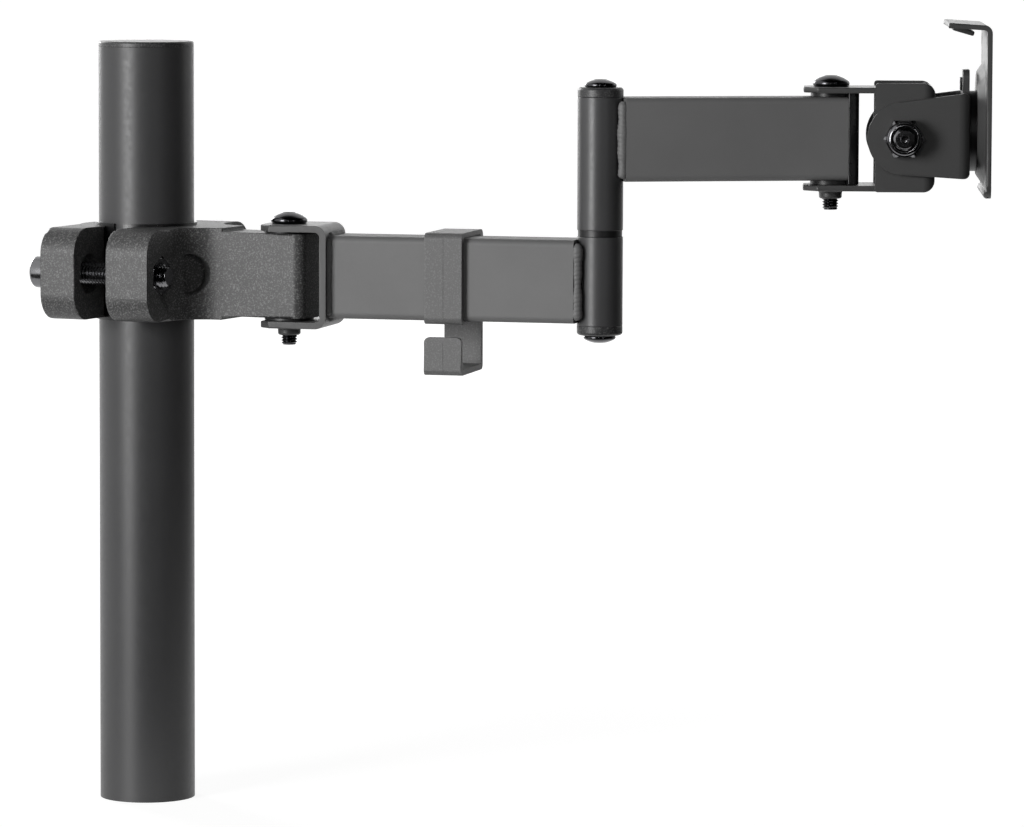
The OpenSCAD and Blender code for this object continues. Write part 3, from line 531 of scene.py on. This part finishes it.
class ARM_OT_screws(Operator):
    """Turns the domed screws of the hinges, with their sockets and threads"""

    bl_idname = "arm.screws"
    bl_label = "Hinge screws"

    def execute(self, context):
        sizes = context.scene.arm_sizes
        shank, taper, socket = M6 / 2, 0.7 * MM, 3.9 * MM
        # up is the side that the head faces; grip is the plain part of the shank, as a share of it.
        for node, width, rise, up, grip in (
            ("base_screw", sizes.axis_head, sizes.axis_head_rise, 1, 0.62),
            ("swivel_screw", sizes.axis_head, sizes.axis_head_rise, 1, 0.62),
            ("elbow_top_screw", sizes.elbow_head, sizes.elbow_head_rise, 1, 0.2),
            ("elbow_bottom_screw", sizes.elbow_head, sizes.elbow_head_rise, -1, 0.2),
        ):
            low, high = (np.array(corner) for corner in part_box(node))
            middle = (low + high) / 2
            span = high[2] - low[2]
            seat = np.array([middle[0], middle[1], high[2] - rise if up > 0 else low[2] + rise])
            tip = rise - span
            rows = profile(
                [[0, tip, 0, 0], [shank - taper, tip, 0, 0]],
                thread(shank, tip, tip * grip, sizes.fine_pitch, taper),
                [[shank, tip * grip, 0, 0], [shank, 0, 0, 0]],
                head_rows(width, rise, socket),
            )
            screw = surface(node + "_turned", turned(rows, seat, (0, 0, up), sizes.fine_pitch))
            stand_for(screw, "oxide", node)
        return {"FINISHED"}


class ARM_OT_collar_bolts(Operator):
    """Turns the two socket head bolts of the collar and mills their nuts"""

    bl_idname = "arm.collar_bolts"
    bl_label = "Collar bolts and nuts"

    def execute(self, context):
        sizes = context.scene.arm_sizes
        radius, head_r, head_h, edge, socket = M8 / 2, 5.8 * MM, M8, 1.2 * MM, 6 * MM
        plain, taper, break_edge = 8 * MM, 0.9 * MM, 0.2 * MM
        tip = -sizes.bolt_seat - sizes.bolt_reach
        rows = profile(
            [[0, tip, 0, 0], [radius - taper, tip, 0, 0]],
            thread(radius, tip, -plain, sizes.coarse_pitch, taper),
            [[radius, -plain, 0, 0], [radius, 0, 0, 0], [head_r - break_edge, 0, 0, 0]],
            [[head_r, break_edge, 0, 0]],
            arc(head_r - edge, head_h - edge, edge, 0, 90, 8),
            [[socket * 0.62, head_h, 0, 0], [socket * 0.6, head_h - 0.4 * MM, socket, 0]],
            [[socket * 0.6, head_h / 2, socket, 0], [0, head_h / 2 - 1 * MM, 0, 0]],
        )
        way = collar_point(-1, 0) - collar_point(0, 0)
        seats = [collar_point(-sizes.bolt_seat, side * sizes.bolt_offset) for side in (-1, 1)]
        grids = [turned(rows, seat, way, sizes.coarse_pitch) for seat in seats]
        stand_for(surface("collar_bolts_turned", *grids), "plated", "collar_bolts")

        thick, front = 6.5 * MM, 21.8 * MM
        rows = profile(
            [[radius + SLIT, 0, 0, 0], [M8_FLATS / 2, 0, 0, 0], [M8_CORNER, 0.6 * MM, M8_FLATS, 0]],
            [[M8_CORNER, thick - 0.9 * MM, M8_FLATS, 0], [M8_FLATS / 2 - 0.1 * MM, thick, 0, 0]],
            [[M8_FLATS / 2 - 1.3 * MM, thick, 0, 0], [radius + 0.7 * MM, thick - 0.15 * MM, 0, 0]],
            [[radius + SLIT, thick - 0.8 * MM, 0, 0], [radius + SLIT, 0, 0, 0]],
        )
        seats = [collar_point(front - thick, side * sizes.bolt_offset) for side in (-1, 1)]
        grids = [turned(rows, seat, -way) for seat in seats]
        stand_for(surface("collar_nuts_milled", *grids), "plated", "collar_nuts")
        return {"FINISHED"}


class ARM_OT_tilt_bolt(Operator):
    """Turns the tilt bolt and its lock nut"""

    bl_idname = "arm.tilt_bolt"
    bl_label = "Tilt bolt and lock nut"

    def execute(self, context):
        sizes = context.scene.arm_sizes
        low, high = (np.array(corner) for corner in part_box("tilt_bolt"))
        nut_low, nut_high = (np.array(corner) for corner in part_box("tilt_nut"))
        axis = JOINTS["head_tilt"]["pos_m"]
        flats_up = np.pi / 6
        radius, head_h, run = M8 / 2, 0.66 * M8, 16 * MM
        seat = np.array([axis[0], high[1] - head_h, axis[2]])
        tip = low[1] - seat[1]
        rows = profile(
            # A centre mark in the end, the thread, then the hexagonal head.
            [[0, tip + 1.1 * MM, 0, 0], [1.1 * MM, tip + 0.9 * MM, 0, 0], [1.3 * MM, tip + 0.3 * MM, 0, 0]],
            [[1.6 * MM, tip, 0, 0], [radius - 0.9 * MM, tip, 0, 0]],
            thread(radius, tip + 0.01 * MM, tip + run, sizes.coarse_pitch, 0.8 * MM),
            [[radius, tip + run, 0, 0], [radius, 0, 0, 0], [M8_FLATS / 2, 0, 0, 0]],
            [[M8_CORNER, 0.3 * MM, M8_FLATS, 0], [M8_CORNER, head_h - 0.8 * MM, M8_FLATS, 0]],
            [[M8_FLATS / 2 - 0.1 * MM, head_h, 0, 0], [0, head_h, 0, 0]],
        )
        bolt = surface("tilt_bolt_turned", turned(rows, seat, (0, 1, 0), sizes.coarse_pitch, flats_up))
        stand_for(bolt, "plated", "tilt_bolt")

        full = nut_high[1] - nut_low[1]
        hex_h, collar_r, edge = full * 0.66, 5.9 * MM, 1.1 * MM
        rows = profile(
            # The hexagon, then the round collar that holds the nylon ring.
            [[radius + SLIT, 0, 0, 0], [M8_FLATS / 2, 0, 0, 0], [M8_CORNER, 0.5 * MM, M8_FLATS, 0]],
            [[M8_CORNER, hex_h - 0.7 * MM, M8_FLATS, 0], [M8_FLATS / 2 - 0.05 * MM, hex_h, M8_FLATS, 0]],
            [[collar_r + 0.2 * MM, hex_h, 0, 0], [collar_r, hex_h + 0.3 * MM, 0, 0]],
            arc(collar_r - edge, full - edge, edge, 0, 90, 8),
            [[radius + 0.55 * MM, full - 0.05 * MM, 0, 0], [radius + 0.35 * MM, full - 0.7 * MM, 0, 0]],
            [[radius + SLIT, full - 0.8 * MM, 0, 0], [radius + SLIT, 0, 0, 0]],
        )
        seat = np.array([axis[0], nut_high[1], axis[2]])
        nut = surface("tilt_nut_milled", turned(rows, seat, (0, -1, 0), phase=flats_up))
        stand_for(nut, "plated", "tilt_nut")
        return {"FINISHED"}


class ARM_OT_welds(Operator):
    """Lays the rippled weld beads at the barrels and the first bracket"""

    bl_idname = "arm.welds"
    bl_label = "Weld beads"

    def execute(self, context):
        sizes = context.scene.arm_sizes
        half_w, half_h, corner = 10 * MM, 15 * MM, 2.0 * MM
        barrel_x, side_y, top = 6.5 * MM, half_w - 1.75 * MM, half_h - 1.1 * MM
        web, reach = 17.5 * MM, 116 * MM
        wide, thin, step = sizes.weld_radius, 0.72 * sizes.weld_radius, sizes.weld_step

        def side(number, x, y, radius, seed):
            """A bead up an arm's flank."""
            return bead(arm_point(number, x, y, -top), arm_point(number, x, y, top), radius, step, seed)

        beads = [side(1, reach - barrel_x, s * side_y, wide, 1.3 + s) for s in (-1, 1)]
        beads += [side(1, web, s * half_w, thin, 2.2 + s) for s in (-1, 1)]
        for s in (-1, 1):
            ends = (arm_point(1, web, y, s * half_h) for y in (corner - half_w, half_w - corner))
            beads.append(bead(*ends, thin, step, 3.1 + s))
        stand_for(surface("arm_1_weld_beads", *beads), "tube", "arm_1_welds")
        beads = [side(2, barrel_x, s * side_y, wide, 4.4 + s) for s in (-1, 1)]
        stand_for(surface("arm_2_weld_beads", *beads), "tube", "arm_2_welds")
        return {"FINISHED"}


class ARM_OT_clip(Operator):
    """Rounds the cable clip and runs the parting line down its front"""

    bl_idname = "arm.clip"
    bl_label = "Cable clip"

    def execute(self, context):
        sizes = context.scene.arm_sizes
        eased("cable_clip", sizes.plastic_edge, "clip")
        front, at, half_h, sunk = 12.75 * MM, 61 * MM, 16.45 * MM, 0.04 * MM
        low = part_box("cable_clip")[0][2] - JOINTS["arm_1_swing"]["pos_m"][2]
        # The line's two stretches: down the sleeve and down the hook's front.
        spans = (1.6 * MM - half_h, half_h - 1.2 * MM), (low + 1.4 * MM, low + 12.6 * MM)
        s = np.linspace(0, 1, 40)[:, None]
        t = np.linspace(0, 2 * np.pi, 8, endpoint=False)[None, :]
        # A radius that holds over the length and closes in a short round end.
        reach = np.sqrt(np.clip(1 - (2 * s - 1) ** 30, 0, 1)) * sizes.parting / 2 + 0 * t
        lines = []
        for foot, head in spans:
            start, end = (arm_point(1, at, sunk - front, h) for h in (foot, head))
            lines.append(swept(start, end - start, reach, t, s * np.linalg.norm(end - start)))
        ridge = surface("clip_parting_line", *lines)
        dress(ridge, "clip")
        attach(ridge, "clip")
        return {"FINISHED"}


def viewed(tree):
    """One for a ray from the camera, off gloss or through glass, and nought for any other."""
    ray = add(tree, "ShaderNodeLightPath")
    either = add(
        tree,
        "ShaderNodeMath",
        {"operation": "MAXIMUM"},
        {0: ray.outputs["Is Camera Ray"], 1: ray.outputs["Is Glossy Ray"]},
    )
    any_of = add(
        tree,
        "ShaderNodeMath",
        {"operation": "MAXIMUM"},
        {0: either.outputs["Value"], 1: ray.outputs["Is Transmission Ray"]},
    )
    return any_of.outputs["Value"]


def soft_lamp(name, place, aim, width, height, watts):
    """A rectangular lamp at a place, turned to face a point."""
    lamp = bpy.data.lights.new(name, "AREA")
    lamp.shape = "RECTANGLE"
    lamp.size, lamp.size_y, lamp.energy = width, height, watts
    obj = bpy.data.objects.new(name, lamp)
    bpy.context.scene.collection.objects.link(obj)
    obj.location = place
    away = np.array(place) - np.array(aim)
    pitch = math.atan2(math.hypot(away[0], away[1]), away[2])
    obj.rotation_euler = Euler((pitch, 0, math.atan2(away[1], away[0]) + math.pi / 2))
    return obj


# The key stands low, forty degrees to the left of the camera, so that flanks that face right stay dark.
# The panel behind is seen in grazing gloss: it lights the top faces and the rims.
# A row holds the name, place, aim, width, height and watts.
LAMPS = (
    ("key", (-1.09, -1.37, 0.42), (0.15, 0, 0.22), 0.6, 1.0, 27.5),
    ("back_left", (-1.0, 1.55, 0.7), (0.05, 0, 0.2), 0.45, 0.9, 15.0),
    ("back_right", (1.5, 0.9, 0.7), (0.1, 0, 0.2), 0.8, 1.0, 4.0),
    ("right_glint", (1.05, -1.65, 0.62), (0.2, 0, 0.2), 0.06, 0.5, 1.2),
    ("front_glint", (0.02, -1.95, 0.72), (0.15, 0, 0.22), 0.06, 0.4, 1.6),
    ("back_panel", (0.1, 2.7, 0.55), (0.1, 0, 0.22), 1.5, 0.8, 8.0),
)
# Black cards round the camera, seen in gloss alone: they keep the coats' front faces deep. The low one
# lies just over the floor, in front of the pole and to its right.
LEFT, RIGHT, NEAR, FOOT, HEAD, SKIM = -1.0, 1.9, -2.4, -0.6, 2.2, 0.003
CARDS = {
    "card_behind": [(LEFT, NEAR, FOOT), (RIGHT, NEAR, FOOT), (RIGHT, NEAR, HEAD), (LEFT, NEAR, HEAD)],
    "card_right": [(RIGHT, NEAR, FOOT), (RIGHT, 2.2, FOOT), (RIGHT, 2.2, HEAD), (RIGHT, NEAR, HEAD)],
    "card_over": [(LEFT, NEAR, HEAD), (RIGHT, NEAR, HEAD), (RIGHT, 1.2, HEAD), (LEFT, 1.2, HEAD)],
    "card_low": [
        *[(-0.9, NEAR, SKIM), (RIGHT, NEAR, SKIM), (RIGHT, 1.5, SKIM)],
        *[(0.45, 1.5, SKIM), (0.45, -0.12, SKIM), (-0.9, -0.12, SKIM)],
    ],
}
# The photograph's camera, fitted to the edges of the pole and of the arms. Angles are in degrees.
CAMERA = {"place": (0.23116, -2.01518, 0.33537), "turn": 2.733, "dip": 4.771, "roll": 0.193}
LENS_MM, SENSOR_MM, SHIFT_Y = 193.4, 36.0, -0.062
SKY_LIGHT = 0.06  # what the white world adds as light; gloss and the camera see it in full
FLOOR = [(x, y, 0) for x, y in ((-20, -20), (20, -20), (20, 20), (-20, 20))]
PAPER_NEAR, PAPER_FAR = 0.25, 1.3  # from the pole: where the paper starts and ends its fade to white


class ARM_OT_stage(Operator):
    """Adds the pale floor, the soft lamps, the world and the camera"""

    bl_idname = "arm.stage"
    bl_label = "Stage"

    def execute(self, context):
        scene = context.scene
        scene.view_settings.view_transform = "Standard"

        world = bpy.data.worlds.new("studio")
        scene.world = world
        tree = empty_tree(world)
        strength = add(
            tree,
            "ShaderNodeMapRange",
            {"From Min": 0.0, "From Max": 1.0, "To Min": SKY_LIGHT, "To Max": 1.0},
            {"Value": viewed(tree)},
        )
        sky = add(
            tree, "ShaderNodeBackground", {"Color": linear("#ffffff")}, {"Strength": strength.outputs["Result"]}
        )
        add(tree, "ShaderNodeOutputWorld", links={"Surface": sky.outputs["Background"]})

        for row in LAMPS:
            lamp = soft_lamp(*row)
            lamp.visible_camera = row[0] != "back_panel"

        black = bpy.data.materials.new("black_card")
        tree = empty_tree(black)
        dark = add(tree, "ShaderNodeBsdfDiffuse", {"Color": linear("#0c0c0c")})
        add(tree, "ShaderNodeOutputMaterial", links={"Surface": dark.outputs["BSDF"]})
        for name, points in CARDS.items():
            card = self.sheet(name, points, black)
            card.visible_camera = card.visible_diffuse = False
            card.visible_shadow = card.visible_transmission = False

        paper = bpy.data.materials.new("white_paper_floor")
        tree = empty_tree(paper)
        # Distance from the pole: the paper is lit evenly close by and fades into the white world.
        place = add(tree, "ShaderNodeTexCoord").outputs["Object"]
        far_off = add(tree, "ShaderNodeVectorMath", {"operation": "LENGTH"}, {0: place})
        glow = add(
            tree,
            "ShaderNodeMapRange",
            {"From Min": PAPER_NEAR, "From Max": PAPER_FAR, "To Min": 0.9, "To Max": 1.0},
            {"Value": far_off.outputs["Value"]},
        )
        power = add(
            tree, "ShaderNodeMath", {"operation": "MULTIPLY"}, {0: viewed(tree), 1: glow.outputs["Result"]}
        )
        light = add(
            tree, "ShaderNodeEmission", {"Color": linear("#ffffff")}, {"Strength": power.outputs["Value"]}
        )
        matt = add(tree, "ShaderNodeBsdfDiffuse", {"Color": linear("#8c8c8c")})
        both = add(tree, "ShaderNodeAddShader", links={0: light.outputs["Emission"], 1: matt.outputs["BSDF"]})
        add(tree, "ShaderNodeOutputMaterial", links={"Surface": both.outputs["Shader"]})
        self.sheet("floor", FLOOR, paper)

        lens = bpy.data.cameras.new("photo_view")
        lens.sensor_width, lens.lens, lens.shift_y = SENSOR_MM, LENS_MM, SHIFT_Y
        lens.clip_start, lens.clip_end = 0.05, 200.0
        eye = bpy.data.objects.new("photo_view", lens)
        scene.collection.objects.link(eye)
        eye.location = CAMERA["place"]
        turn = Euler((0, 0, math.radians(CAMERA["turn"]))).to_matrix()
        pitch = Euler((math.radians(90 - CAMERA["dip"]), 0, 0)).to_matrix()
        roll = Euler((0, 0, math.radians(CAMERA["roll"]))).to_matrix()
        eye.rotation_euler = (turn @ pitch @ roll).to_euler()
        scene.camera = eye
        return {"FINISHED"}

    def sheet(self, name, points, material):
        """A flat piece of the stage over its corners."""
        mesh = bpy.data.meshes.new(name)
        mesh.from_pydata(points, [], [tuple(range(len(points)))])
        mesh.materials.append(material)
        obj = bpy.data.objects.new(name, mesh)
        bpy.context.scene.collection.objects.link(obj)
        return obj


# ---------------------------------------------------------------- sidebar and run

STEPS = (
    ARM_OT_coats,
    ARM_OT_edges,
    ARM_OT_screws,
    ARM_OT_collar_bolts,
    ARM_OT_tilt_bolt,
    ARM_OT_welds,
    ARM_OT_clip,
    ARM_OT_stage,
)


class ARM_PT_sidebar(Panel):
    """Lists the sizes, the colours and the steps"""

    bl_label = "Monitor Arm"
    bl_space_type = "VIEW_3D"
    bl_region_type = "UI"
    bl_category = "Monitor Arm"

    def draw(self, context):
        layout = self.layout
        for group in (context.scene.arm_sizes, context.scene.arm_colours):
            box = layout.box()
            for key in group.__annotations__:
                box.prop(group, key)
        for step in STEPS:
            layout.operator(step.bl_idname)


CLASSES = (ArmColours, ArmSizes, *STEPS, ARM_PT_sidebar)


def register():
    for item in CLASSES:
        bpy.utils.register_class(item)
    bpy.types.Scene.arm_colours = PointerProperty(type=ArmColours)
    bpy.types.Scene.arm_sizes = PointerProperty(type=ArmSizes)


def unregister():
    del bpy.types.Scene.arm_sizes
    del bpy.types.Scene.arm_colours
    for item in reversed(CLASSES):
        bpy.utils.unregister_class(item)


def main():
    """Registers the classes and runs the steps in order."""
    register()
    for step in STEPS:
        group, name = step.bl_idname.split(".")
        getattr(getattr(bpy.ops, group), name)()


if __name__ == "__main__":
    main()
